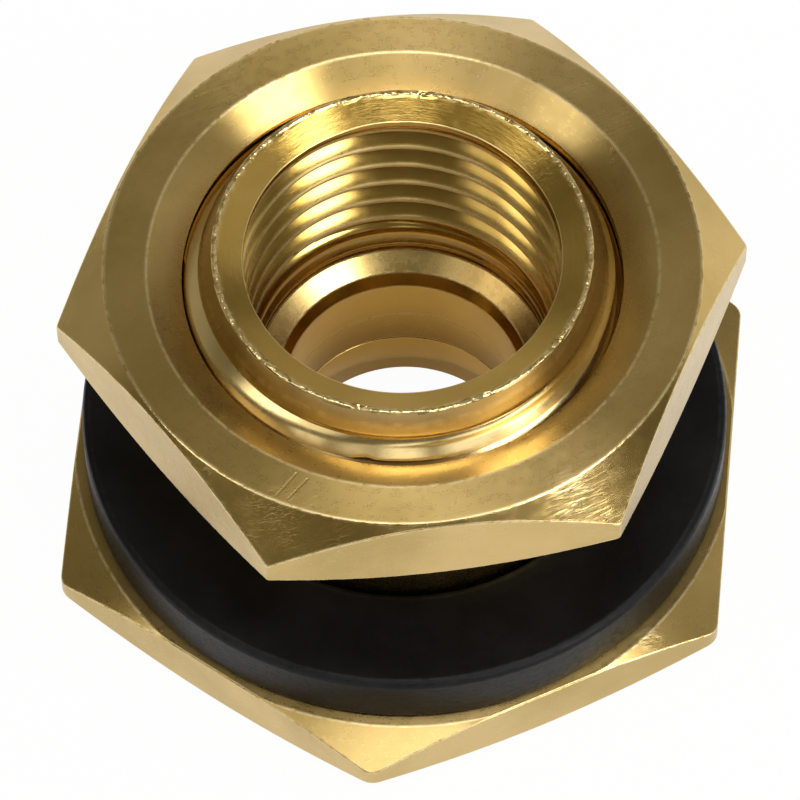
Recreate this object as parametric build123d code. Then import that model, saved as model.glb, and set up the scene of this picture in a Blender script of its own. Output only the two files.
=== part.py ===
import os
from math import cos, radians, tan

from build123d import *

os.makedirs("parts", exist_ok=True)

# All lengths in millimetres, +Z along the axis of the stem.
# The origin is the centre of the flange's under face.

# Spud body: hexagon flange
flange_flats = 39.1
flange_thick = 3.75
flange_corner_r = 1.0
flange_top_face_over = 0.5
flange_top_slope = 22.0
flange_under_face_inset = 0.5
flange_under_slope = 25.0

# Spud body: threaded stem
stem_d = 25.4
stem_top_z = 24.6
stem_end_d = 21.9
stem_end_slope = 60.0
stem_end_land = 0.2

# Spud body: bore, from the top down
sink_slope = 25.0
pipe_bore_d = 18.32
pipe_bore_end_z = 12.0
relief_d = 17.4
relief_end_z = 10.9
drill_point_slope = 31.0
drill_point_end_d = 15.0
throat_slope = 60.0
outlet_d = 14.0
outlet_chamfer = 0.15

# Lock nut
nut_flats = 34.925
nut_thick = 5.5
nut_below_stem_top = 1.65
nut_turn = -17.25
nut_corner_r = 0.25
nut_top_face_inset = 0.5
nut_top_slope = 39.0
nut_under_face_inset = 0.7
nut_under_slope = 28.0
nut_running_fit = 0.05
nut_sink_d = 29.5
nut_sink_slope = 30.0
nut_low_sink_d = 27.4
nut_low_sink_slope = 45.0

# Gasket
gasket_rim_inset = 0.35
gasket_thick = 3.8
gasket_hole_gap = 0.3
gasket_edge = 0.4


def slope_rise(from_d, to_d, slope):
    return abs(to_d - from_d) / 2 * tan(radians(slope))


def turned(points):
    return revolve(Plane.XZ * make_face(Polyline(*points, close=True)), Axis.Z)


def hexagon_blank(flats, corner_r, thick, under_d, under_slope, top_d, top_slope):
    outline = RegularPolygon(flats / 2, 6, major_radius=False)
    outline = fillet(outline.vertices(), corner_r)
    wide_d = flats / cos(radians(30))
    cones = turned([
        (0, 0),
        (under_d / 2, 0),
        (wide_d / 2, slope_rise(under_d, wide_d, under_slope)),
        (wide_d / 2, thick - slope_rise(top_d, wide_d, top_slope)),
        (top_d / 2, thick),
        (0, thick),
    ])
    return extrude(outline, thick) & cones


# Spud body: flange and stem in one turned piece, with the stepped bore through it
flange = hexagon_blank(
    flange_flats, flange_corner_r, flange_thick,
    flange_flats - flange_under_face_inset, flange_under_slope,
    flange_flats + flange_top_face_over, flange_top_slope,
)
chamfer_z = stem_top_z - slope_rise(stem_end_d, stem_d, stem_end_slope)
stem = turned([
    (0, flange_thick / 2),
    (stem_d / 2, flange_thick / 2),
    (stem_d / 2, chamfer_z),
    (stem_end_d / 2, stem_top_z),
    (0, stem_top_z),
])
sink_d = stem_end_d - 2 * stem_end_land
sink_z = stem_top_z - slope_rise(pipe_bore_d, sink_d, sink_slope)
drill_point_z = relief_end_z - slope_rise(relief_d, drill_point_end_d, drill_point_slope)
throat_z = drill_point_z - slope_rise(drill_point_end_d, outlet_d, throat_slope)
bore = turned([
    (0, 0),
    (outlet_d / 2 + outlet_chamfer, 0),
    (outlet_d / 2, outlet_chamfer),
    (outlet_d / 2, throat_z),
    (drill_point_end_d / 2, drill_point_z),
    (relief_d / 2, relief_end_z),
    (relief_d / 2, pipe_bore_end_z),
    (pipe_bore_d / 2, pipe_bore_end_z),
    (pipe_bore_d / 2, sink_z),
    (sink_d / 2, stem_top_z),
    (0, stem_top_z),
])
spud_body = flange + stem - bore
export_step(spud_body, "parts/spud_body.step")

# Gasket: flat ring with eased outer edges, seated on the flange just inside its flats
gasket_d = flange_flats - 2 * gasket_rim_inset
gasket_hole_d = stem_d + 2 * gasket_hole_gap
gasket = Cylinder(gasket_d / 2, gasket_thick, align=(Align.CENTER, Align.CENTER, Align.MIN))
gasket = chamfer(gasket.edges().filter_by(GeomType.CIRCLE), gasket_edge)
gasket -= Cylinder(gasket_hole_d / 2, gasket_thick, align=(Align.CENTER, Align.CENTER, Align.MIN))
gasket = Pos(0, 0, flange_thick) * gasket
export_step(gasket, "parts/gasket.step")

# Lock nut: chamfered on both faces, countersunk round the thread
nut_bore_d = stem_d + 2 * nut_running_fit
nut = hexagon_blank(
    nut_flats, nut_corner_r, nut_thick,
    nut_flats - nut_under_face_inset, nut_under_slope,
    nut_flats - nut_top_face_inset, nut_top_slope,
)
nut -= turned([
    (0, 0),
    (nut_low_sink_d / 2, 0),
    (nut_bore_d / 2, slope_rise(nut_bore_d, nut_low_sink_d, nut_low_sink_slope)),
    (nut_bore_d / 2, nut_thick - slope_rise(nut_bore_d, nut_sink_d, nut_sink_slope)),
    (nut_sink_d / 2, nut_thick),
    (0, nut_thick),
])
nut_under_z = stem_top_z - nut_below_stem_top - nut_thick
lock_nut = Pos(0, 0, nut_under_z) * Rot(0, 0, nut_turn) * nut
export_step(lock_nut, "parts/lock_nut.step")
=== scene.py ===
import math

import bmesh
import bpy
import numpy as np
from mathutils import Matrix, Vector


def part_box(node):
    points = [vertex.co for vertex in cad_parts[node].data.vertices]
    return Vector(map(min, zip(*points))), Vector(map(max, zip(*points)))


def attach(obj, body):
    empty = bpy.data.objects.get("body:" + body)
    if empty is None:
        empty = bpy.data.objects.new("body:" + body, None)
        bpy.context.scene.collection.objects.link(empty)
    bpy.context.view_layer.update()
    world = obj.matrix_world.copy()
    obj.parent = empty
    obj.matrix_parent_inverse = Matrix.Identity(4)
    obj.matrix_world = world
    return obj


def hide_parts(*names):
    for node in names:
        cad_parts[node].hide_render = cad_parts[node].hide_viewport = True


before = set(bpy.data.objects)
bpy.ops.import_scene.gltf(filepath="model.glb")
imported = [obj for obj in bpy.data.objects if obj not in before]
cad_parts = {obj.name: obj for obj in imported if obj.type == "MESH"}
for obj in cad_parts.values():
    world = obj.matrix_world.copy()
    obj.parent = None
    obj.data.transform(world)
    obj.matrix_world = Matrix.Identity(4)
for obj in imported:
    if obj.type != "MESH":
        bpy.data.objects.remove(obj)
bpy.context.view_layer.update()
mm = 0.001
oneTurn = 2 * math.pi
print("frame loaded:", ", ".join(sorted(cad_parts)))


# rise over run of a slope in degrees
def slopeOf(degrees):
    return math.tan(math.radians(degrees))


# smooth step: three squares less two cubes, held at 0 below 0 and at 1 above 1
def smoothStep(value):
    t = np.clip(value, 0, 1)
    return t * t * (3 - 2 * t)


# ring columns: an even fan in each sixth of a turn, crowded close to the hexagon's corners
def columnAngles(start, perSide, near):
    near = np.array(near)
    fan = np.linspace(near[-1], 60 - near[-1], perSide)
    sixth = np.concatenate([[0.0], near[:-1], fan, 60 - near[:-1][::-1]])
    degrees = (np.arange(6)[:, None] * 60 + sixth).ravel()
    return np.radians(start + np.append(degrees, 360.0))


# rounded hexagon: half the width over the cosine of the turn off a flat, a small arc at each corner
def hexRadius(angle, start, flats, corner):
    off = np.abs((angle - math.radians(start) + math.pi / 6) % (math.pi / 3) - math.pi / 6)
    flat = flats / 2 / np.cos(math.pi / 6 - off)
    centre = (flats / 2 - corner) / math.cos(math.pi / 6)
    meet = math.atan2(corner / 2, centre + corner * math.cos(math.pi / 6))
    arc = centre * np.cos(off) + np.sqrt(np.maximum(corner**2 - (centre * np.sin(off)) ** 2, 0))
    return np.where(off < meet, arc, flat)


# eased profile: each inner corner turns into five points, two back along either side and one pulled in
def easedProfile(angle, points, ease, look):
    p = np.stack([np.stack([r + 0 * angle, z + 0 * angle]) for r, z in points])
    corner = p[1:-1]
    back, ahead = p[:-2] - corner, p[2:] - corner
    backLong = np.maximum(np.hypot(back[:, 0], back[:, 1]), 1e-9)
    aheadLong = np.maximum(np.hypot(ahead[:, 0], ahead[:, 1]), 1e-9)
    room = np.minimum(ease, 0.2 * np.minimum(backLong, aheadLong))  # short sides keep their middle
    back *= (room / backLong)[:, None]
    ahead *= (room / aheadLong)[:, None]
    five = np.stack([corner + 2 * back, corner + back, corner + (back + ahead) / 4,
                     corner + ahead, corner + 2 * ahead], axis=1)
    rows = np.concatenate([p[:1], five.reshape(-1, 2, len(angle)), p[-1:]])
    edge = np.concatenate([[0.0], np.tile([0.0, 0.6, 1.0, 0.6, 0.0], len(points) - 2), [0.0]])
    looks = np.concatenate([[look[0]] * 3] + [[look[k]] * 5 for k in range(1, len(points) - 1)])
    return {"r": rows[:, 0], "z": rows[:, 1], "edge": edge[:, None] + 0 * angle, "look": looks[: len(rows) - 1]}


# screw rows: each row climbs one pitch a turn, so it keeps its place on the thread; the ends are cut flat
def screwRows(angle, low, high, pitch, steps, crestZ, crestTurn, crestStep):
    climb = (angle - angle[0]) / oneTurn
    shift = (crestZ - low) / pitch - (math.radians(crestTurn) - angle[0]) / oneTurn - crestStep
    turns = int(math.ceil((high - low) / pitch)) + 3
    starts = (np.arange(turns)[:, None] + steps).ravel() + shift % 1 - 2
    z = np.clip(low + pitch * (starts[:, None] + climb), low, high)
    return z, ((z - low) / pitch - climb - shift) % 1


# worn section: a hyperbola, straight at the root and round at the crest, as a height from 0 to 1
def wornSection(count, crestRound):
    steps = np.arange(count) / count
    fine = np.linspace(0, 1, 8 * count + 1)
    off = np.abs(2 * fine - 1)
    fall = np.sqrt(off**2 + crestRound**2) - crestRound
    return fine, 1 - fall / fall.max(), steps


# thread section: flat root, straight flank, flat crest, straight flank, as a height from 0 to 1
def threadSection(root, crest, perFlank):
    flank = (1 - root - crest) / 2
    corners = np.array([0, root, root + flank, root + flank + crest, 1])
    up = np.linspace(corners[1], corners[2], perFlank)
    down = np.linspace(corners[3], corners[4], perFlank)
    steps = np.unique(np.concatenate([[0, root / 2], up, [(corners[2] + corners[3]) / 2], down[:-1]]))
    return corners, np.array([0, 0, 1, 1, 0]), steps


meshing = {"weld": 2e-6, "sliver": 1e-7, "sharpFrom": 48}  # metres, metres, degrees


# skin: strips of rings, radius and height over the same columns, are joined into one closed surface
def skin(name, angle, strips, materials):
    columns = len(angle)
    r = np.concatenate([s["r"] for s in strips])
    z = np.concatenate([s["z"] for s in strips])
    edge = np.concatenate([s["edge"] for s in strips])
    # deep: a painted shade share for each point, stored as a mesh value for the brass colour
    deep = np.concatenate([s.get("deep", 0 * s["r"]) for s in strips])
    points = np.stack([r * np.cos(angle), r * np.sin(angle), z], axis=-1).reshape(-1, 3) * mm
    quads, looks, first = [], [], 0
    for s in strips:
        rows = len(s["r"])
        grid = first + np.arange(rows * columns).reshape(rows, columns)
        quads.append(np.stack([grid[:-1, :-1], grid[:-1, 1:], grid[1:, 1:], grid[1:, :-1]], axis=-1).reshape(-1, 4))
        looks.append(np.repeat(s["look"], columns - 1))
        first += rows * columns
    quads, looks = np.concatenate(quads), np.concatenate(looks)

    mesh = bpy.data.meshes.new(name)
    mesh.vertices.add(len(points))
    mesh.vertices.foreach_set("co", points.ravel())
    mesh.loops.add(quads.size)
    mesh.loops.foreach_set("vertex_index", quads.ravel())
    mesh.polygons.add(len(quads))
    mesh.polygons.foreach_set("loop_start", np.arange(0, quads.size, 4))
    mesh.polygons.foreach_set("loop_total", np.full(len(quads), 4))
    mesh.polygons.foreach_set("material_index", looks.astype(np.int32))
    mesh.attributes.new("edge", "FLOAT", "POINT").data.foreach_set("value", edge.ravel())
    mesh.attributes.new("deep", "FLOAT", "POINT").data.foreach_set("value", deep.ravel())
    mesh.update(calc_edges=True)

    shell = bmesh.new()
    shell.from_mesh(mesh)
    bmesh.ops.remove_doubles(shell, verts=shell.verts, dist=meshing["weld"])
    bmesh.ops.dissolve_degenerate(shell, dist=meshing["sliver"], edges=shell.edges)
    bmesh.ops.recalc_face_normals(shell, faces=shell.faces)
    shell.to_mesh(mesh)
    shell.free()
    mesh.polygons.foreach_set("use_smooth", np.ones(len(mesh.polygons), dtype=bool))
    mesh.set_sharp_from_angle(angle=math.radians(meshing["sharpFrom"]))
    for material in materials:
        mesh.materials.append(material)
    piece = bpy.data.objects.new(name, mesh)
    bpy.context.scene.collection.objects.link(piece)
    print(name, "faces", len(mesh.polygons), "corners", len(mesh.vertices))
    return piece


# one node with its settings; an input is linked to a socket, or else set to the number or colour given
def addNode(tree, kind, inputs=None, **settings):
    made = tree.nodes.new(kind)
    for key, value in settings.items():
        setattr(made, key, value)
    for key, value in (inputs or {}).items():
        if isinstance(value, bpy.types.NodeSocket):
            tree.links.new(value, made.inputs[key])
        else:
            made.inputs[key].default_value = value
    return made


def mathNode(tree, operation, first, second=0.0, third=0.0):
    return addNode(tree, "ShaderNodeMath", {0: first, 1: second, 2: third}, operation=operation).outputs[0]


# input 3 of a vector node is its scale
def vectorNode(tree, operation, first, second=(0, 0, 0), scale=1.0):
    inputs = {0: first, 1: second, 3: scale}
    return addNode(tree, "ShaderNodeVectorMath", inputs, operation=operation).outputs


def rampNode(tree, value, low, high, toLow=0.0, toHigh=1.0):
    inputs = {"Value": value, "From Min": low, "From Max": high, "To Min": toLow, "To Max": toHigh}
    return addNode(tree, "ShaderNodeMapRange", inputs, interpolation_type="SMOOTHSTEP").outputs["Result"]


def noiseNode(tree, place, scale, detail, rough=0.5):
    inputs = {"Vector": place, "Scale": scale, "Detail": detail, "Roughness": rough}
    return addNode(tree, "ShaderNodeTexNoise", inputs).outputs[0]


def mixColour(tree, factor, first, second):
    inputs = {"Factor": factor, "A": first, "B": second}
    return addNode(tree, "ShaderNodeMix", inputs, data_type="RGBA").outputs["Result"]


def meshValue(tree, name):
    return addNode(tree, "ShaderNodeAttribute", attribute_name=name).outputs["Fac"]


def objectPlace(tree):
    return addNode(tree, "ShaderNodeTexCoord").outputs["Object"]


def millimetres(tree):
    return vectorNode(tree, "SCALE", objectPlace(tree), scale=1 / mm)[0]


# a shader group with its float inputs and its outputs named
def newGroup(name, inputs, outputs):
    tree = bpy.data.node_groups.new(name, "ShaderNodeTree")
    for label, value in inputs.items():
        tree.interface.new_socket(label, in_out="INPUT", socket_type="NodeSocketFloat").default_value = value
    for label in outputs:
        tree.interface.new_socket(label, in_out="OUTPUT", socket_type="NodeSocketFloat")
    return tree, tree.nodes.new("NodeGroupInput").outputs, tree.nodes.new("NodeGroupOutput").inputs


toolRings = {"perMm": 4.0, "detail": 3.0, "rough": 0.7, "wander": 0.15, "driftScale": 0.35, "driftDetail": 2.0}


# tool lines: noise read along the distance from the axis and along the height, so it lies in rings
def toolLinesGroup(v):
    tree, given, result = newGroup("toolLines", {"Lines Per Mm": v["perMm"], "Wander": v["wander"]}, ["Lines"])
    place = millimetres(tree)
    apart = addNode(tree, "ShaderNodeSeparateXYZ", {0: place}).outputs
    squares = [mathNode(tree, "POWER", apart[k], 2.0) for k in range(2)]
    across = mathNode(tree, "SQRT", mathNode(tree, "ADD", *squares))
    drift = mathNode(tree, "MULTIPLY", noiseNode(tree, place, v["driftScale"], v["driftDetail"]), given["Wander"])
    rings = addNode(tree, "ShaderNodeCombineXYZ", {0: mathNode(tree, "ADD", across, drift),
                                                   1: mathNode(tree, "ADD", apart[2], drift)}).outputs[0]
    lines = noiseNode(tree, rings, given["Lines Per Mm"], v["detail"], v["rough"])
    tree.links.new(lines, result["Lines"])
    return tree


handling = {
    "lines": [((0.5, 0.2, 0.9), 0.09), ((0.2, 0.6, 2.3), 0.07), ((1.2, 0.4, 0.3), 0.08)],  # tilt, scale along
    "lineAcross": 2.4, "lineDetail": 1.0, "lineWide": 0.012,
    "patchScale": 0.22, "patchDetail": 2.0, "patchFrom": 0.48, "patchTo": 0.66,
    "dentScale": 0.9, "dentWide": 0.2, "dentRim": 0.06, "dentRare": 3.0, "dentFrom": 0.5, "dentTo": 0.55,
}


# handling marks: thin lines from noise drawn out one way, in patches, and small round dents from cells
def handlingGroup(v):
    amounts = {"Scratch Amount": 0.5, "Dent Amount": 0.5}
    tree, given, result = newGroup("handlingMarks", amounts, ["Scratches", "Dents"])
    place = millimetres(tree)
    lines = None
    for tilt, along in v["lines"]:
        scale = (along, v["lineAcross"], v["lineAcross"])
        drawnOut = addNode(tree, "ShaderNodeMapping", {"Vector": place, "Rotation": tilt, "Scale": scale}).outputs[0]
        noise = noiseNode(tree, drawnOut, 1.0, v["lineDetail"])
        off = mathNode(tree, "ABSOLUTE", mathNode(tree, "SUBTRACT", noise, 0.5))
        line = rampNode(tree, off, 0.0, v["lineWide"], 1.0, 0.0)
        lines = line if lines is None else mathNode(tree, "MAXIMUM", lines, line)
    patch = noiseNode(tree, place, v["patchScale"], v["patchDetail"])
    patch = rampNode(tree, patch, v["patchFrom"], v["patchTo"])
    scratches = mathNode(tree, "MULTIPLY", mathNode(tree, "MULTIPLY", lines, patch), given["Scratch Amount"])
    tree.links.new(scratches, result["Scratches"])

    cells = addNode(tree, "ShaderNodeTexVoronoi", {"Vector": place, "Scale": v["dentScale"], "Randomness": 1.0})
    chance = addNode(tree, "ShaderNodeSeparateXYZ", {0: cells.outputs["Color"]}).outputs
    size = mathNode(tree, "MULTIPLY", mathNode(tree, "POWER", chance[1], v["dentRare"]), v["dentWide"])
    dent = rampNode(tree, mathNode(tree, "SUBTRACT", size, cells.outputs["Distance"]), 0.0, v["dentRim"])
    dent = mathNode(tree, "MULTIPLY", dent, rampNode(tree, chance[0], v["dentFrom"], v["dentTo"]))
    tree.links.new(mathNode(tree, "MULTIPLY", dent, given["Dent Amount"]), result["Dents"])
    return tree


mouthMarks = {"around": 14.0, "upward": 11.0, "detail": 3.0, "rough": 0.65, "fade": 0.08}


# chatter: noise read slowly round the axis and fast up it, so it lies in short marks along a band of heights
def chatterGroup(v):
    tree, given, result = newGroup("chatter", {"From Z": 0.0, "To Z": 1.0}, ["Marks"])
    apart = addNode(tree, "ShaderNodeSeparateXYZ", {0: millimetres(tree)}).outputs
    flat = addNode(tree, "ShaderNodeCombineXYZ", {0: apart[0], 1: apart[1]}).outputs[0]
    around = vectorNode(tree, "SCALE", vectorNode(tree, "NORMALIZE", flat)[0], scale=v["around"])[0]
    upward = addNode(tree, "ShaderNodeCombineXYZ", {2: mathNode(tree, "MULTIPLY", apart[2], v["upward"])}).outputs[0]
    noise = noiseNode(tree, vectorNode(tree, "ADD", around, upward)[0], 1.0, v["detail"], v["rough"])
    above = rampNode(tree, mathNode(tree, "SUBTRACT", apart[2], given["From Z"]), 0.0, v["fade"])
    below = rampNode(tree, mathNode(tree, "SUBTRACT", given["To Z"], apart[2]), 0.0, v["fade"])
    inside = mathNode(tree, "MULTIPLY", above, below)
    tree.links.new(mathNode(tree, "MULTIPLY", noise, inside), result["Marks"])
    return tree


edgeBreakUp = {"grain": 2.2, "detail": 3.0, "lowShare": 0.8, "rise": 0.12}


# edge wear: the mesh's own edge value, broken up by fine noise
def edgeWearGroup(v):
    tree, given, result = newGroup("edgeWear", {"Grain": v["grain"], "Cover": 0.5}, ["Wear"])
    noise = noiseNode(tree, millimetres(tree), given["Grain"], v["detail"])
    low = mathNode(tree, "SUBTRACT", 1.0, given["Cover"])
    limits = {"From Min": mathNode(tree, "MULTIPLY", low, v["lowShare"]),
              "From Max": mathNode(tree, "ADD", low, v["rise"])}
    broken = addNode(tree, "ShaderNodeMapRange", {"Value": noise, **limits}).outputs[0]
    tree.links.new(mathNode(tree, "MULTIPLY", meshValue(tree, "edge"), broken), result["Wear"])
    return tree


clouding = {
    "patch": 0.12, "patchDetail": 4.0, "patchFrom": 0.3, "patchTo": 0.7,
    "fine": 1.4, "fineDetail": 5.0, "fineRough": 0.7, "fineFrom": 0.35, "fineTo": 0.75,
}


# cloudiness: broad soft patches and fine specks, both from 0 to 1
def cloudGroup(v):
    tree, given, result = newGroup("cloudiness", {"Patch": v["patch"], "Fine": v["fine"]}, ["Broad", "Specks"])
    place = millimetres(tree)
    broad = noiseNode(tree, place, given["Patch"], v["patchDetail"])
    fine = noiseNode(tree, place, given["Fine"], v["fineDetail"], v["fineRough"])
    tree.links.new(rampNode(tree, broad, v["patchFrom"], v["patchTo"]), result["Broad"])
    tree.links.new(rampNode(tree, fine, v["fineFrom"], v["fineTo"]), result["Specks"])
    return tree


wearMarks = {
    "scuffs": [(-15.9, -7.7, 22.9, 0.6), (2.3, -17.4, 22.2, 2.2), (-10.95, -5.0, 22.6, 0.9),
               (7.4, -18.5, 3.5, 1.2), (-21.9, -1.1, 3.2, 0.5)],  # x, y, z, radius
    "scuffCore": 0.3, "scuffTurn": (0.3, 0.2, 0.6), "scuffStretch": (0.45, 2.2, 1.4),
    "scuffScale": 1.6, "scuffDetail": 3.0, "scuffFrom": 0.36, "scuffTo": 0.68,
    "scores": [((-11.3, -10.1, 22.95), (-12.85, -10.9, 22.95)),
               ((-10.9, -10.7, 22.95), (-12.4, -11.4, 22.95))],  # start, end
    "scoreWide": 0.09,
}


# wear marks: rough spots fading with the distance from their centres, and scores along straight lines
def wearMarksGroup(v):
    tree, _, result = newGroup("wearMarks", {}, ["Scuffs", "Scores"])
    place = millimetres(tree)
    spots, scores = 0.0, 0.0
    for x, y, z, wide in v["scuffs"]:
        away = vectorNode(tree, "DISTANCE", place, (x, y, z))["Value"]
        spots = mathNode(tree, "MAXIMUM", spots, rampNode(tree, away, v["scuffCore"] * wide, wide, 1.0, 0.0))
    drawnOut = addNode(tree, "ShaderNodeMapping", {"Vector": place, "Rotation": v["scuffTurn"],
                                                   "Scale": v["scuffStretch"]}).outputs[0]
    grain = noiseNode(tree, drawnOut, v["scuffScale"], v["scuffDetail"])
    grain = rampNode(tree, grain, v["scuffFrom"], v["scuffTo"])
    tree.links.new(mathNode(tree, "MULTIPLY", spots, grain), result["Scuffs"])
    for start, end in v["scores"]:
        along = Vector(end) - Vector(start)
        off = vectorNode(tree, "SUBTRACT", place, start)[0]
        share = vectorNode(tree, "DOT_PRODUCT", off, along / along.length_squared)["Value"]
        share = mathNode(tree, "MINIMUM", mathNode(tree, "MAXIMUM", share, 0.0), 1.0)
        foot = vectorNode(tree, "SCALE", along, scale=share)[0]
        away = vectorNode(tree, "DISTANCE", off, foot)["Value"]
        scores = mathNode(tree, "MAXIMUM", scores, rampNode(tree, away, 0.0, v["scoreWide"], 1.0, 0.0))
    tree.links.new(scores, result["Scores"])
    return tree


toolLines = toolLinesGroup(toolRings)
placedMarks = wearMarksGroup(wearMarks)
handlingMarks = handlingGroup(handling)
chatter = chatterGroup(mouthMarks)
edgeWear = edgeWearGroup(edgeBreakUp)
cloudiness = cloudGroup(clouding)
print("effect groups ready:", len(bpy.data.node_groups))

brass = {
    # tones
    "clean": {"fresh": (0.66, 0.47, 0.185, 1), "dull": (0.50, 0.35, 0.115, 1), "worn": (0.84, 0.67, 0.35, 1)},
    "toned": {"fresh": (0.63, 0.42, 0.12, 1), "dull": (0.48, 0.31, 0.07, 1), "worn": (0.84, 0.66, 0.32, 1)},
    "pale": {"fresh": (0.80, 0.62, 0.30, 1), "dull": (0.70, 0.52, 0.22, 1), "worn": (0.84, 0.67, 0.35, 1)},
    # painted shade: a brown shade colour laid over the tone by the mesh's deep value
    "paintedShade": (0.20, 0.11, 0.025, 1), "paintedShadeFrom": 0.25, "paintedShadeCover": 0.75,
    # finishes
    "turned": {"tone": "clean", "rough": 0.29, "grain": 0.9, "lines": 5.0, "relief": 0.15, "scratches": 0.25,
               "dents": 0.06, "cover": 0.62, "wornRough": 0.1, "wornHeight": 0.6, "chatter": 0.0},
    "drawn": {"tone": "clean", "rough": 0.27, "grain": 0.0, "lines": 1.2, "relief": 0.08, "scratches": 0.25,
              "dents": 0.15, "cover": 0.55, "wornRough": 0.1, "wornHeight": 0.6, "chatter": 0.0},
    "bored": {"tone": "toned", "rough": 0.18, "grain": 0.45, "lines": 3.5, "relief": 0.25, "scratches": 0.15,
              "dents": 0.15, "cover": 0.75, "wornRough": 0.3, "wornHeight": 0.4, "chatter": 0.6},
    "faced": {"tone": "clean", "rough": 0.19, "grain": 0.5, "lines": 4.0, "relief": 0.2, "scratches": 0.25,
              "dents": 0.08, "cover": 0.6, "wornRough": 0.1, "wornHeight": 0.6, "chatter": 0.0},
    "nicked": {"tone": "clean", "rough": 0.2, "grain": 0.0, "lines": 4.0, "relief": 0.1, "scratches": 0.1,
               "dents": 0.1, "cover": 0.55, "wornRough": 0.05, "wornHeight": 2.4, "chatter": 0.0},
    "rubbed": {"tone": "pale", "rough": 0.2, "grain": 0.5, "lines": 4.0, "relief": 0.15, "scratches": 0.15,
               "dents": 0.05, "cover": 0.5, "wornRough": 0.1, "wornHeight": 0.6, "chatter": 0.0},
    # how strongly each effect tells, in every finish
    "scratchPale": 0.7, "scuffPale": 0.6, "speckRough": 0.05, "lineRough": 0.06,
    "speckHeight": 0.02, "scratchDeep": 0.5, "dentDeep": 1.2, "scuffHeight": 0.7, "scoreDeep": 3.0,
    "chatterFrom": 23.8, "chatterTo": 24.7, "bumpStrength": 0.35, "bumpDistance": 0.00003, "grainTurn": 0.25,
}


# brass: two tones mixed by cloudy patches, darkened by painted shade where the mesh's deep value is set and paler
# where worn, with a relief that adds up tool rings, scratches, dents and placed marks
def brassFinish(name, values):
    v, colours = brass, brass[values["tone"]]
    finish = bpy.data.materials.new(name)
    finish.use_nodes = True
    tree = finish.node_tree
    shader = tree.nodes["Principled BSDF"]

    def effect(group, inputs=None):
        return addNode(tree, "ShaderNodeGroup", inputs, node_tree=group).outputs

    lines = effect(toolLines, {"Lines Per Mm": values["lines"]})["Lines"]
    marks = effect(handlingMarks, {"Scratch Amount": values["scratches"], "Dent Amount": values["dents"]})
    wear = effect(edgeWear, {"Cover": values["cover"]})["Wear"]
    clouds = effect(cloudiness)
    placed = effect(placedMarks)

    tone = mixColour(tree, clouds["Broad"], colours["fresh"], colours["dull"])
    # painted shade: the deep value darkens the tone towards the brown shade colour
    paintedShadeShare = rampNode(tree, meshValue(tree, "deep"), v["paintedShadeFrom"], 1.0, 0.0, v["paintedShadeCover"])
    tone = mixColour(tree, paintedShadeShare, tone, v["paintedShade"])
    bright = mathNode(tree, "MAXIMUM", wear, mathNode(tree, "MULTIPLY", marks["Scratches"], v["scratchPale"]))
    bright = mathNode(tree, "MAXIMUM", bright, mathNode(tree, "MULTIPLY", placed["Scuffs"], v["scuffPale"]))
    tree.links.new(mixColour(tree, bright, tone, colours["worn"]), shader.inputs["Base Color"])

    rough = values["rough"] - v["speckRough"]
    for value, share in ((clouds["Specks"], v["speckRough"]), (lines, v["lineRough"]), (wear, values["wornRough"])):
        rough = mathNode(tree, "MULTIPLY_ADD", value, share, rough)
    tree.links.new(rough, shader.inputs["Roughness"])

    height = mathNode(tree, "MULTIPLY", lines, values["relief"])
    heights = [(clouds["Specks"], v["speckHeight"]), (marks["Scratches"], -v["scratchDeep"]),
               (marks["Dents"], -v["dentDeep"]), (wear, values["wornHeight"]),
               (placed["Scuffs"], v["scuffHeight"]), (placed["Scores"], -v["scoreDeep"])]
    if values["chatter"]:
        band = effect(chatter, {"From Z": v["chatterFrom"], "To Z": v["chatterTo"]})
        heights.append((band["Marks"], values["chatter"]))
    for value, share in heights:
        height = mathNode(tree, "MULTIPLY_ADD", value, share, height)
    bump = addNode(tree, "ShaderNodeBump", {"Height": height, "Strength": v["bumpStrength"],
                                            "Distance": v["bumpDistance"]})
    tree.links.new(bump.outputs["Normal"], shader.inputs["Normal"])
    shader.inputs["Metallic"].default_value = 1.0
    if values["grain"]:  # gloss drawn out across the tool lines, which run round the axis
        along = vectorNode(tree, "CROSS_PRODUCT", (0, 0, 1), objectPlace(tree))[0]
        tree.links.new(along, shader.inputs["Tangent"])
        shader.inputs["Anisotropic"].default_value = values["grain"]
        shader.inputs["Anisotropic Rotation"].default_value = v["grainTurn"]
    return finish


lookNames = ("turned", "drawn", "bored", "faced", "nicked", "rubbed")
turned, drawn, bored, faced, nicked, rubbed = range(len(lookNames))
brassLooks = [brassFinish("brass" + look.capitalize(), brass[look]) for look in lookNames]

rubber = {
    "deep": (0.0025, 0.0025, 0.003, 1), "dusty": (0.012, 0.012, 0.0135, 1),
    "patch": 0.2, "patchGrey": 0.5, "edgeCover": 0.55, "edgeGrey": 0.8, "grain": 3.0,
    "rough": 0.42, "roughSpread": 0.14, "specular": 0.16, "bumpStrength": 0.25, "bumpDistance": 0.00004,
}


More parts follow.
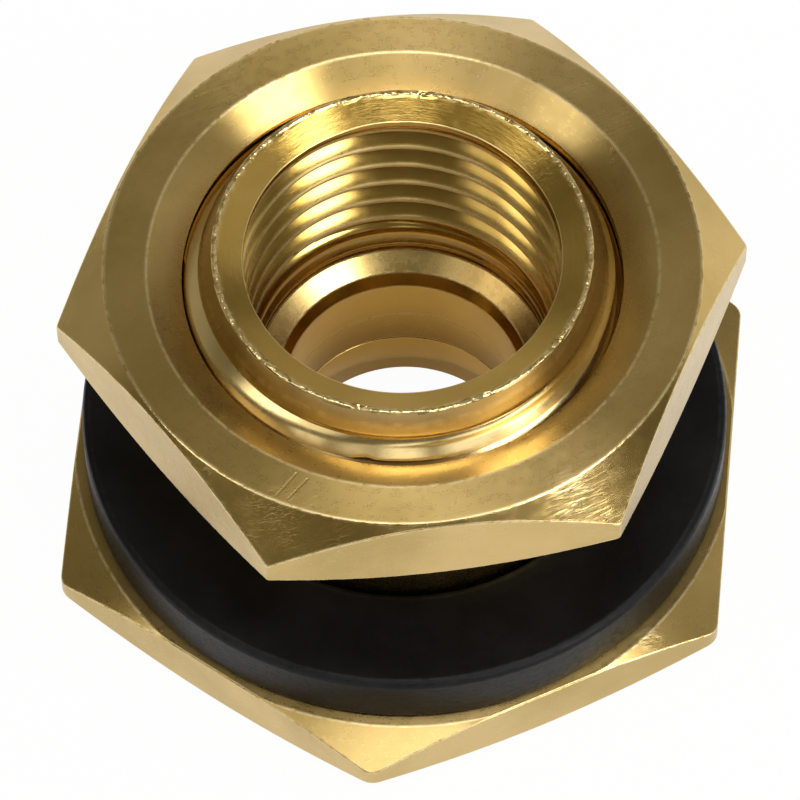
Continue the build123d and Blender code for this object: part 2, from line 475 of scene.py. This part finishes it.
# rubber: near black, a little greyer in cloudy patches and along its edges, with a fine moulded grain
def rubberFinish(name, v):
    finish = bpy.data.materials.new(name)
    finish.use_nodes = True
    tree = finish.node_tree
    shader = tree.nodes["Principled BSDF"]
    scales = {"Patch": v["patch"], "Fine": v["grain"]}
    clouds = addNode(tree, "ShaderNodeGroup", scales, node_tree=cloudiness).outputs
    wear = addNode(tree, "ShaderNodeGroup", {"Cover": v["edgeCover"]}, node_tree=edgeWear).outputs["Wear"]
    grey = mathNode(tree, "MULTIPLY", clouds["Broad"], v["patchGrey"])
    grey = mathNode(tree, "MULTIPLY_ADD", wear, v["edgeGrey"], grey)
    tree.links.new(mixColour(tree, grey, v["deep"], v["dusty"]), shader.inputs["Base Color"])
    rough = mathNode(tree, "MULTIPLY_ADD", clouds["Specks"], v["roughSpread"], v["rough"] - v["roughSpread"] / 2)
    tree.links.new(rough, shader.inputs["Roughness"])
    bump = addNode(tree, "ShaderNodeBump", {"Height": clouds["Specks"], "Strength": v["bumpStrength"],
                                            "Distance": v["bumpDistance"]})
    tree.links.new(bump.outputs["Normal"], shader.inputs["Normal"])
    shader.inputs["Specular IOR Level"].default_value = v["specular"]
    return finish


rubberBlack = rubberFinish("rubberBlack", rubber)
print("finishes ready")

# lengths in millimetres, turns and slopes in degrees, dentWide and nickWide in radians
spudBody = {
    "perSide": 26, "nearCorner": (0.5, 1.0, 1.5, 2.6),
    "flangeFlats": 39.1, "flangeThick": 3.75, "flangeCorner": 1.0, "flangeEase": 0.07, "edgeBreak": 0.09,
    "topCircle": 19.8, "topSlope": 22.0, "underCircle": 19.3, "underSlope": 25.0,
    "pitch": 1.814, "stemRadius": 12.7, "stemFrom": 9.8, "stemRunOut": 1.2,
    "stemDepth": 1.113, "stemRoot": 0.166, "stemFlat": 0.125, "stemPerFlank": 6,
    "stemCrest": (21.95, 245.8),  # height and turn of one point on a crest
    # painted shade: the stem's thread roots and the upper cone of its end are darkened in colour
    "crestWear": 0.2, "crestWearFrom": 0.98, "groovePaintedShade": 0.5,
    "endRadius": 10.95, "endSlope": 60.0, "endUpper": 66.5, "endLower": 47.0, "endPaintedShade": 0.74, "endPaintedShadeFade": 0.3,
    "dents": [(227.6, 21.7, 0.14), (235.4, 21.75, 0.12), (196.0, 23.2, 0.1),
              (199.0, 22.3, 0.12), (203.0, 23.0, 0.1)],  # turn, height, depth
    "dentWide": 0.012, "dentTall": 0.16,
    "landWide": 0.2, "landEdge": 0.05, "landDrop": (0.008, 0.0, 0.01), "landBite": (1.0, 0.6, 1.0),
    "landEdgeWear": 0.4, "nicks": 46, "nickDepth": (0.01, 0.11), "nickWide": 0.022, "nickSeed": 14,
    "sinkSlope": 25.0, "sinkWear": 0.7, "sinkWearFrom": 0.96, "mouthRadius": 9.16, "mouthFade": 1.5,
    "taper": 1 / 32, "pipeDepth": 1.15, "pipeCrestRound": 0.22, "pipePerTurn": 20,
    "pipeCrest": (12.2, 65.8), "pipeFade": (12.5, 14.0), "pipeFrom": 11.5, "pipeWear": (0.86, 0.98),
    "bore": [(8.72, 11.3), (8.70, 10.9), (7.50, 10.18), (7.06, 9.35), (7.04, 6.3), (7.01, 6.2),
             (7.01, 3.70), (7.07, 3.66), (7.07, 3.60), (7.0, 3.55)],  # radius, height
    "boreEase": 0.05, "outletRadius": 7.0, "outletChamfer": 0.15,
    # painted shade: a dark band in the bore above the tool step, and one darker side of the drill point
    "outletPaintedShade": ((3.6, 3.7, 9.3), (0.0, 0.95, 0.0)),  # heights, level at each
    "drillPaintedShade": 0.8, "drillPaintedShadeTurn": 12.0, "drillPaintedShadeFade": (0.7, 0.95), "drillPaintedShadeFrom": 9.9,
}


# flange: a profile from the outlet's chamfer under the flange, up the hexagon and in to the stem's plain foot;
# cones cut its corners by their slope times the distance outside a circle
def flangeStrip(v, angle):
    hexR = hexRadius(angle, 0.0, v["flangeFlats"], v["flangeCorner"])
    broken = v["edgeBreak"]
    topZ = v["flangeThick"] - np.maximum((hexR - v["topCircle"]) * slopeOf(v["topSlope"]), broken)
    underZ = np.maximum((hexR - v["underCircle"]) * slopeOf(v["underSlope"]), broken)
    return easedProfile(angle, [
        (v["outletRadius"], v["outletChamfer"]),
        (v["outletRadius"] + v["outletChamfer"], 0.0),
        (np.minimum(v["underCircle"], hexR - broken), 0.0),
        (hexR, underZ),
        (hexR, topZ),
        (np.minimum(v["topCircle"], hexR - broken), v["flangeThick"]),
        (v["stemRadius"], v["flangeThick"]),
        (v["stemRadius"], v["stemFrom"]),
    ], v["flangeEase"], [bored, turned, turned, drawn, turned, turned, drawn])


# stem thread: a groove under the crest radius, cut off at the stem's end by two cones, a steep one over
# a flat one, less a bell-shaped dent at each given place
def stemStrip(v, angle, top):
    corners, heights, steps = threadSection(v["stemRoot"], v["stemFlat"], v["stemPerFlank"])
    z, phase = screwRows(angle, v["stemFrom"], top - v["landEdge"], v["pitch"], steps, *v["stemCrest"],
                         (corners[2] + corners[3]) / 2)
    crest = np.interp(phase, corners, heights)
    groove = v["stemDepth"] * (1 - crest) * smoothStep((z - v["stemFrom"]) / v["stemRunOut"])
    endZ = top - (v["stemRadius"] - v["endRadius"]) * slopeOf(v["endSlope"])
    upper = v["endRadius"] + (top - z) / slopeOf(v["endUpper"])
    lower = v["stemRadius"] - (z - endZ) / slopeOf(v["endLower"])
    r = np.minimum(v["stemRadius"] - groove, np.maximum(upper, lower))
    for dentTurn, dentZ, dentDeep in v["dents"]:
        sideways, upward = (angle - math.radians(dentTurn)) / v["dentWide"], (z - dentZ) / v["dentTall"]
        r = r - dentDeep * np.exp(-(sideways**2) - upward**2)
    # painted shade: darker by the groove's depth, and on the upper cone of the stem's end where it stands over the
    # lower one
    endShadePainted = v["endPaintedShade"] * smoothStep((upper - lower) / v["endPaintedShadeFade"])
    return {"r": r, "z": z, "edge": v["crestWear"] * (crest > v["crestWearFrom"]),
            "deep": np.maximum(v["groovePaintedShade"] * groove / v["stemDepth"], endShadePainted),
            "look": np.full(len(r) - 1, rubbed)}


# land at the stem's end: a narrow ring, less a bell-shaped nick at each of many uneven places
def landStrip(v, angle, top, outer, inner):
    dice = np.random.default_rng(v["nickSeed"])
    places, depths = dice.uniform(0, oneTurn, v["nicks"]), dice.uniform(*v["nickDepth"], v["nicks"])
    apart = np.abs((angle[:, None] - places + math.pi) % oneTurn - math.pi)
    nicks = (depths * np.exp(-(apart / v["nickWide"]) ** 2)).sum(axis=1)
    across = np.linspace(0, 1, 5)[:, None]
    drop = np.array([v["landEdge"], *v["landDrop"], v["landEdge"]])[:, None]
    bite = np.array([0, *v["landBite"], 0])[:, None]
    wear = np.array([v["landEdgeWear"], 1, 1, 1, v["landEdgeWear"]])[:, None]
    return {"r": (1 - across) * outer + across * inner, "z": top - drop - bite * nicks,
            "edge": wear + 0 * angle, "look": np.full(4, nicked)}


# countersink at the mouth: a straight slope from the land down to the pipe thread's crest
def sinkStrip(v, angle, top, mouthZ):
    start = top - v["landEdge"]
    down = np.append(np.linspace(0, 0.94, 9), [0.97, 1.0])[:, None]  # rows crowd at the lower edge
    z = start + (mouthZ - start) * down + 0 * angle
    r = v["endRadius"] - v["landWide"] - (top - z) / slopeOf(v["sinkSlope"])
    wear = v["sinkWear"] * (down > v["sinkWearFrom"])
    return {"r": r, "z": z, "edge": wear + 0 * angle, "look": np.full(len(r) - 1, bored)}


# pipe thread: a groove outside the tapered crest that runs out below the countersink
def pipeStrip(v, angle, mouthZ):
    corners, heights, steps = wornSection(v["pipePerTurn"], v["pipeCrestRound"])
    z, phase = screwRows(angle, v["pipeFrom"], mouthZ, v["pitch"], steps, *v["pipeCrest"], 0.5)
    start, full = v["pipeFade"]
    fade = smoothStep((z - start) / (full - start)) * smoothStep((mouthZ - z) / v["mouthFade"])
    crest = np.interp(phase, corners, heights)
    # deep: how far into the groove; it sets the radius and also lays painted shade in the thread roots
    deep = (1 - crest) * fade
    r = v["mouthRadius"] - (mouthZ - z) * v["taper"] + v["pipeDepth"] * deep
    wornFrom, wornFull = v["pipeWear"]
    wear = smoothStep((crest - wornFrom) / (wornFull - wornFrom))
    return {"r": r[::-1], "z": z[::-1], "edge": wear[::-1], "deep": deep[::-1], "look": np.full(len(r) - 1, bored)}


# bore: a turned profile from the pipe thread down to the outlet, with painted shade above a tool step and, near
# the drill point, painted shade by the cosine of the turn from one side
def boreStrip(v, angle, pipeEnd):
    points = [(pipeEnd, v["pipeFrom"])] + v["bore"] + [(v["outletRadius"], v["outletChamfer"])]
    strip = easedProfile(angle, points, v["boreEase"], [bored, bored, drawn] + [bored] * (len(v["bore"]) - 2))
    # painted shade on one side of the drill point, fading with the cosine of the turn
    clear, full = v["drillPaintedShadeFade"]
    side = smoothStep((np.cos(angle - math.radians(v["drillPaintedShadeTurn"])) - clear) / (full - clear))
    drillShadePainted = v["drillPaintedShade"] * side * (strip["z"] > v["drillPaintedShadeFrom"])
    strip["deep"] = np.interp(strip["z"], *v["outletPaintedShade"]) + drillShadePainted
    return strip


# spud body: rings that run from the outlet out under the flange, up the stem, over its end and down the bore
def makeSpudBody(v):
    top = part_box("spud_body")[1].z / mm
    mouthZ = top - (v["endRadius"] - v["landWide"] - v["mouthRadius"]) * slopeOf(v["sinkSlope"])
    angle = columnAngles(0.0, v["perSide"], v["nearCorner"])
    flange = flangeStrip(v, angle)
    stem = stemStrip(v, angle, top)
    sink = sinkStrip(v, angle, top, mouthZ)
    land = landStrip(v, angle, top, stem["r"][-1], sink["r"][0])
    pipe = pipeStrip(v, angle, mouthZ)
    bore = boreStrip(v, angle, pipe["r"][-1])
    return skin("spudBodyBrass", angle, [flange, stem, land, sink, pipe, bore], brassLooks)


lockNut = {
    "perSide": 28, "nearCorner": (0.2, 0.41, 0.8, 1.8),
    "flats": 34.925, "turn": -17.25, "corner": 0.25, "ease": 0.08, "edgeBreak": 0.08,
    "topCircle": 17.2125, "topSlope": 39.0, "underCircle": 17.1125, "underSlope": 28.0,
    "sinkRadius": 14.75, "sinkSlope": 30.0, "lowSinkRadius": 13.7, "lowSinkSlope": 45.0,
    "boreRadius": 12.75, "pitch": 1.814, "threadDepth": 0.6, "threadRoot": 0.1, "threadFlat": 0.2, "perFlank": 4,
    "runOut": 0.8,
}


# lock nut: a hexagon with its corners coned off on both faces, countersunk round a thread, which is a groove
# outside the bore that runs out before both countersinks
def makeLockNut(v):
    low, high = (corner.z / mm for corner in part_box("lock_nut"))
    angle = columnAngles(v["turn"], v["perSide"], v["nearCorner"])
    hexR = hexRadius(angle, v["turn"], v["flats"], v["corner"])
    topZ = high - np.maximum((hexR - v["topCircle"]) * slopeOf(v["topSlope"]), v["edgeBreak"])
    underZ = low + np.maximum((hexR - v["underCircle"]) * slopeOf(v["underSlope"]), v["edgeBreak"])
    sinkZ = high - (v["sinkRadius"] - v["boreRadius"]) * slopeOf(v["sinkSlope"])
    lowSinkZ = low + (v["lowSinkRadius"] - v["boreRadius"]) * slopeOf(v["lowSinkSlope"])
    outside = easedProfile(angle, [
        (v["boreRadius"], lowSinkZ),
        (v["lowSinkRadius"], low),
        (v["underCircle"], low),
        (hexR, underZ),
        (hexR, topZ),
        (v["topCircle"], high),
        (v["sinkRadius"], high),
        (v["boreRadius"], sinkZ),
    ], v["ease"], [turned, turned, turned, drawn, faced, turned, turned])

    corners, heights, steps = threadSection(v["threadRoot"], v["threadFlat"], v["perFlank"])
    z, phase = screwRows(angle, lowSinkZ, sinkZ, v["pitch"], steps, low, 0.0, (corners[2] + corners[3]) / 2)
    fade = smoothStep((z - lowSinkZ) / v["runOut"]) * smoothStep((sinkZ - z) / v["runOut"])
    r = v["boreRadius"] + v["threadDepth"] * (1 - np.interp(phase, corners, heights)) * fade
    thread = {"r": r[::-1], "z": z[::-1], "edge": 0 * r, "look": np.full(len(r) - 1, bored)}
    return skin("lockNutBrass", angle, [outside, thread], brassLooks[: faced + 1])


gasketRing = {
    "perSide": 24, "nearCorner": (0.5, 1.0, 1.5, 2.6), "hole": 13.0, "ease": 0.3, "dish": 0.05, "waviness": 0.03,
    "underBreak": 0.25, "shoulder": [(0.0, 0.42), (0.12, 0.13), (0.42, 0.01)], "holeBreak": (0.4, 0.3),  # in, down
}


# gasket: a ring with a rounded shoulder and a slight dish, its rim pulled in by a wave of three and one of five
def makeGasket(v):
    low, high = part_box("gasket")
    outer, z0, z1 = high.x / mm, low.z / mm, high.z / mm
    angle = columnAngles(0.0, v["perSide"], v["nearCorner"])
    wave = v["waviness"] * (0.5 + 0.25 * np.sin(3 * angle + 1) + 0.25 * np.sin(5 * angle + 2))
    inside = (v["hole"], (z0 + z1) / 2)
    holeIn, holeDown = v["holeBreak"]
    shoulder = [(outer - inward - wave, z1 - down) for inward, down in v["shoulder"]]
    points = [
        inside,
        (v["hole"], z0),
        (outer - v["underBreak"], z0),
        (outer - wave, z0 + v["underBreak"]),
        *shoulder,
        (v["hole"] + holeIn, z1 - v["dish"]),
        (v["hole"], z1 - holeDown),
        inside,
    ]
    ring = easedProfile(angle, points, v["ease"], [0] * (len(points) - 1))
    return skin("gasketRubber", angle, [ring], [rubberBlack])


spud = makeSpudBody(spudBody)
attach(spud, "spud")
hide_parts("spud_body")

gasket = makeGasket(gasketRing)
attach(gasket, "spud")
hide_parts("gasket")

nut = makeLockNut(lockNut)
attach(nut, "nut")
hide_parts("lock_nut")
print("pieces in place")

# floor in metres, light cards in degrees
studio = {
    "floorHalf": 3.0, "floorDrop": 0.00003, "floorWhite": 0.9, "floorGlow": 0.97,
    "shadeNear": 0.006, "shadeFar": 0.018, "shadeLevel": 0.3, "shadeTint": (1.0, 0.74, 0.36, 1),
    "dome": (0.16, 0.145, 0.10),
    "cards": [
        {"azimuth": -55, "elevation": 54, "inner": 7, "outer": 14, "strength": 11.0},
        {"azimuth": -114, "elevation": 90, "inner": 9, "outer": 14, "strength": 6.0},
        {"azimuth": -69, "elevation": 2, "inner": 12, "outer": 26, "strength": 2.4},
        {"azimuth": 0, "elevation": -8, "inner": 22, "outer": 37, "strength": 0.8},
        {"azimuth": -156, "elevation": 20, "inner": 4, "outer": 10, "strength": 1.2},
        {"azimuth": -136, "elevation": 22, "inner": 4, "outer": 10, "strength": 0.8},
        {"azimuth": -115, "elevation": 27, "inner": 5, "outer": 12, "strength": 1.4},
        {"azimuth": -88, "elevation": 24, "inner": 5, "outer": 13, "strength": 1.3},
        {"azimuth": -62, "elevation": 17, "inner": 4, "outer": 10, "strength": 2.5},
        {"azimuth": -169, "elevation": 55, "inner": 5, "outer": 12, "strength": 1.4},
        {"azimuth": 169, "elevation": 49, "inner": 7, "outer": 11, "strength": 3.2},
        {"azimuth": 4, "elevation": 48, "inner": 12, "outer": 26, "strength": 0.35},
        {"azimuth": 66, "elevation": 4, "inner": 20, "outer": 42, "strength": 0.35},
        {"azimuth": 128, "elevation": 12, "inner": 12, "outer": 30, "strength": 0.2},
        {"azimuth": 66, "elevation": 58, "inner": 12, "outer": 50, "strength": 0.1},
    ],
}


# floor: a wide plate just under the flange, white to the camera and to gloss, still taking the shadow;
# gloss sees it darker and browner near the axis, a painted shadow in painted brass-coloured light
def makeFloor(v):
    side = np.array([-1.0, 1.0]) * v["floorHalf"]
    x, y = np.meshgrid(side, side)
    corners = np.stack([x.ravel(), y.ravel(), np.full(4, -v["floorDrop"])], axis=-1)
    mesh = bpy.data.meshes.new("floor")
    mesh.from_pydata(corners.tolist(), [], [(0, 1, 3, 2)])
    white = bpy.data.materials.new("floorWhite")
    white.use_nodes = True
    tree = white.node_tree
    tree.nodes.remove(tree.nodes["Principled BSDF"])
    rays = addNode(tree, "ShaderNodeLightPath").outputs
    matt = addNode(tree, "ShaderNodeBsdfDiffuse", {"Color": (v["floorWhite"],) * 3 + (1,)})
    away = vectorNode(tree, "LENGTH", objectPlace(tree))["Value"]
    # painted shadow for gloss near the axis, tinted brown as painted light from the brass
    clear = rampNode(tree, away, v["shadeNear"], v["shadeFar"])
    plain = mathNode(tree, "MAXIMUM", clear, rays["Is Camera Ray"])
    tint = mixColour(tree, plain, v["shadeTint"], (1, 1, 1, 1))
    glow = addNode(tree, "ShaderNodeEmission", {"Color": tint, "Strength": 1.0})
    shade = mathNode(tree, "MULTIPLY_ADD", clear, 1.0 - v["shadeLevel"], v["shadeLevel"])
    seen = mathNode(tree, "MULTIPLY", rays["Is Glossy Ray"], shade)
    for kind in ("Is Transmission Ray", "Is Camera Ray"):
        seen = mathNode(tree, "MAXIMUM", seen, rays[kind])
    share = mathNode(tree, "MULTIPLY", seen, v["floorGlow"])
    both = addNode(tree, "ShaderNodeMixShader", {0: share, 1: matt.outputs[0], 2: glow.outputs[0]})
    tree.links.new(both.outputs[0], tree.nodes["Material Output"].inputs["Surface"])
    mesh.materials.append(white)
    floor = bpy.data.objects.new("floor", mesh)
    bpy.context.scene.collection.objects.link(floor)


def unitVector(azimuth, elevation):
    a, e = math.radians(azimuth), math.radians(elevation)
    return Vector((math.cos(a) * math.cos(e), math.sin(a) * math.cos(e), math.sin(e)))


# sky: an even dome with soft round light cards, each fading with the angle from its centre
def makeSky(v):
    world = bpy.data.worlds.new("softRoom")
    world.use_nodes = True
    tree = world.node_tree
    towards = addNode(tree, "ShaderNodeTexCoord").outputs["Generated"]
    light = addNode(tree, "ShaderNodeCombineColor", dict(enumerate(v["dome"]))).outputs[0]
    for card in v["cards"]:
        near = vectorNode(tree, "DOT_PRODUCT", towards, unitVector(card["azimuth"], card["elevation"]))["Value"]
        rim, full = (math.cos(math.radians(card[key])) for key in ("outer", "inner"))
        light = vectorNode(tree, "ADD", light, rampNode(tree, near, rim, full, 0.0, card["strength"]))[0]
    tree.links.new(light, tree.nodes["Background"].inputs["Color"])
    bpy.context.scene.world = world


# aim and distance in millimetres, clip in metres
viewpoint = {"lens": 295.41, "sensor": 36.0, "azimuth": -114.19, "elevation": 58.94, "roll": -0.80,
             "distance": 372.63, "aim": (-3.955, -8.189, 22.95), "clip": (0.01, 20.0)}


# camera: a given distance from the aim, up the line of sight, then rolled about it
def makeCamera(v):
    back = unitVector(v["azimuth"], v["elevation"])
    right = Vector((0, 0, 1)).cross(back).normalized()
    up = back.cross(right)
    c, s = math.cos(math.radians(v["roll"])), math.sin(math.radians(v["roll"]))
    axes = Matrix((c * right + s * up, c * up - s * right, back)).transposed()
    data = bpy.data.cameras.new("viewpoint")
    data.lens = v["lens"]
    data.sensor_width = v["sensor"]
    data.clip_start, data.clip_end = v["clip"]
    camera = bpy.data.objects.new("viewpoint", data)
    camera.matrix_world = Matrix.Translation((Vector(v["aim"]) + back * v["distance"]) * mm) @ axes.to_4x4()
    bpy.context.scene.collection.objects.link(camera)
    bpy.context.scene.camera = camera


makeFloor(studio)
makeSky(studio)
makeCamera(viewpoint)
bpy.context.scene.view_settings.view_transform = "Standard"
print("floor, light and camera set")
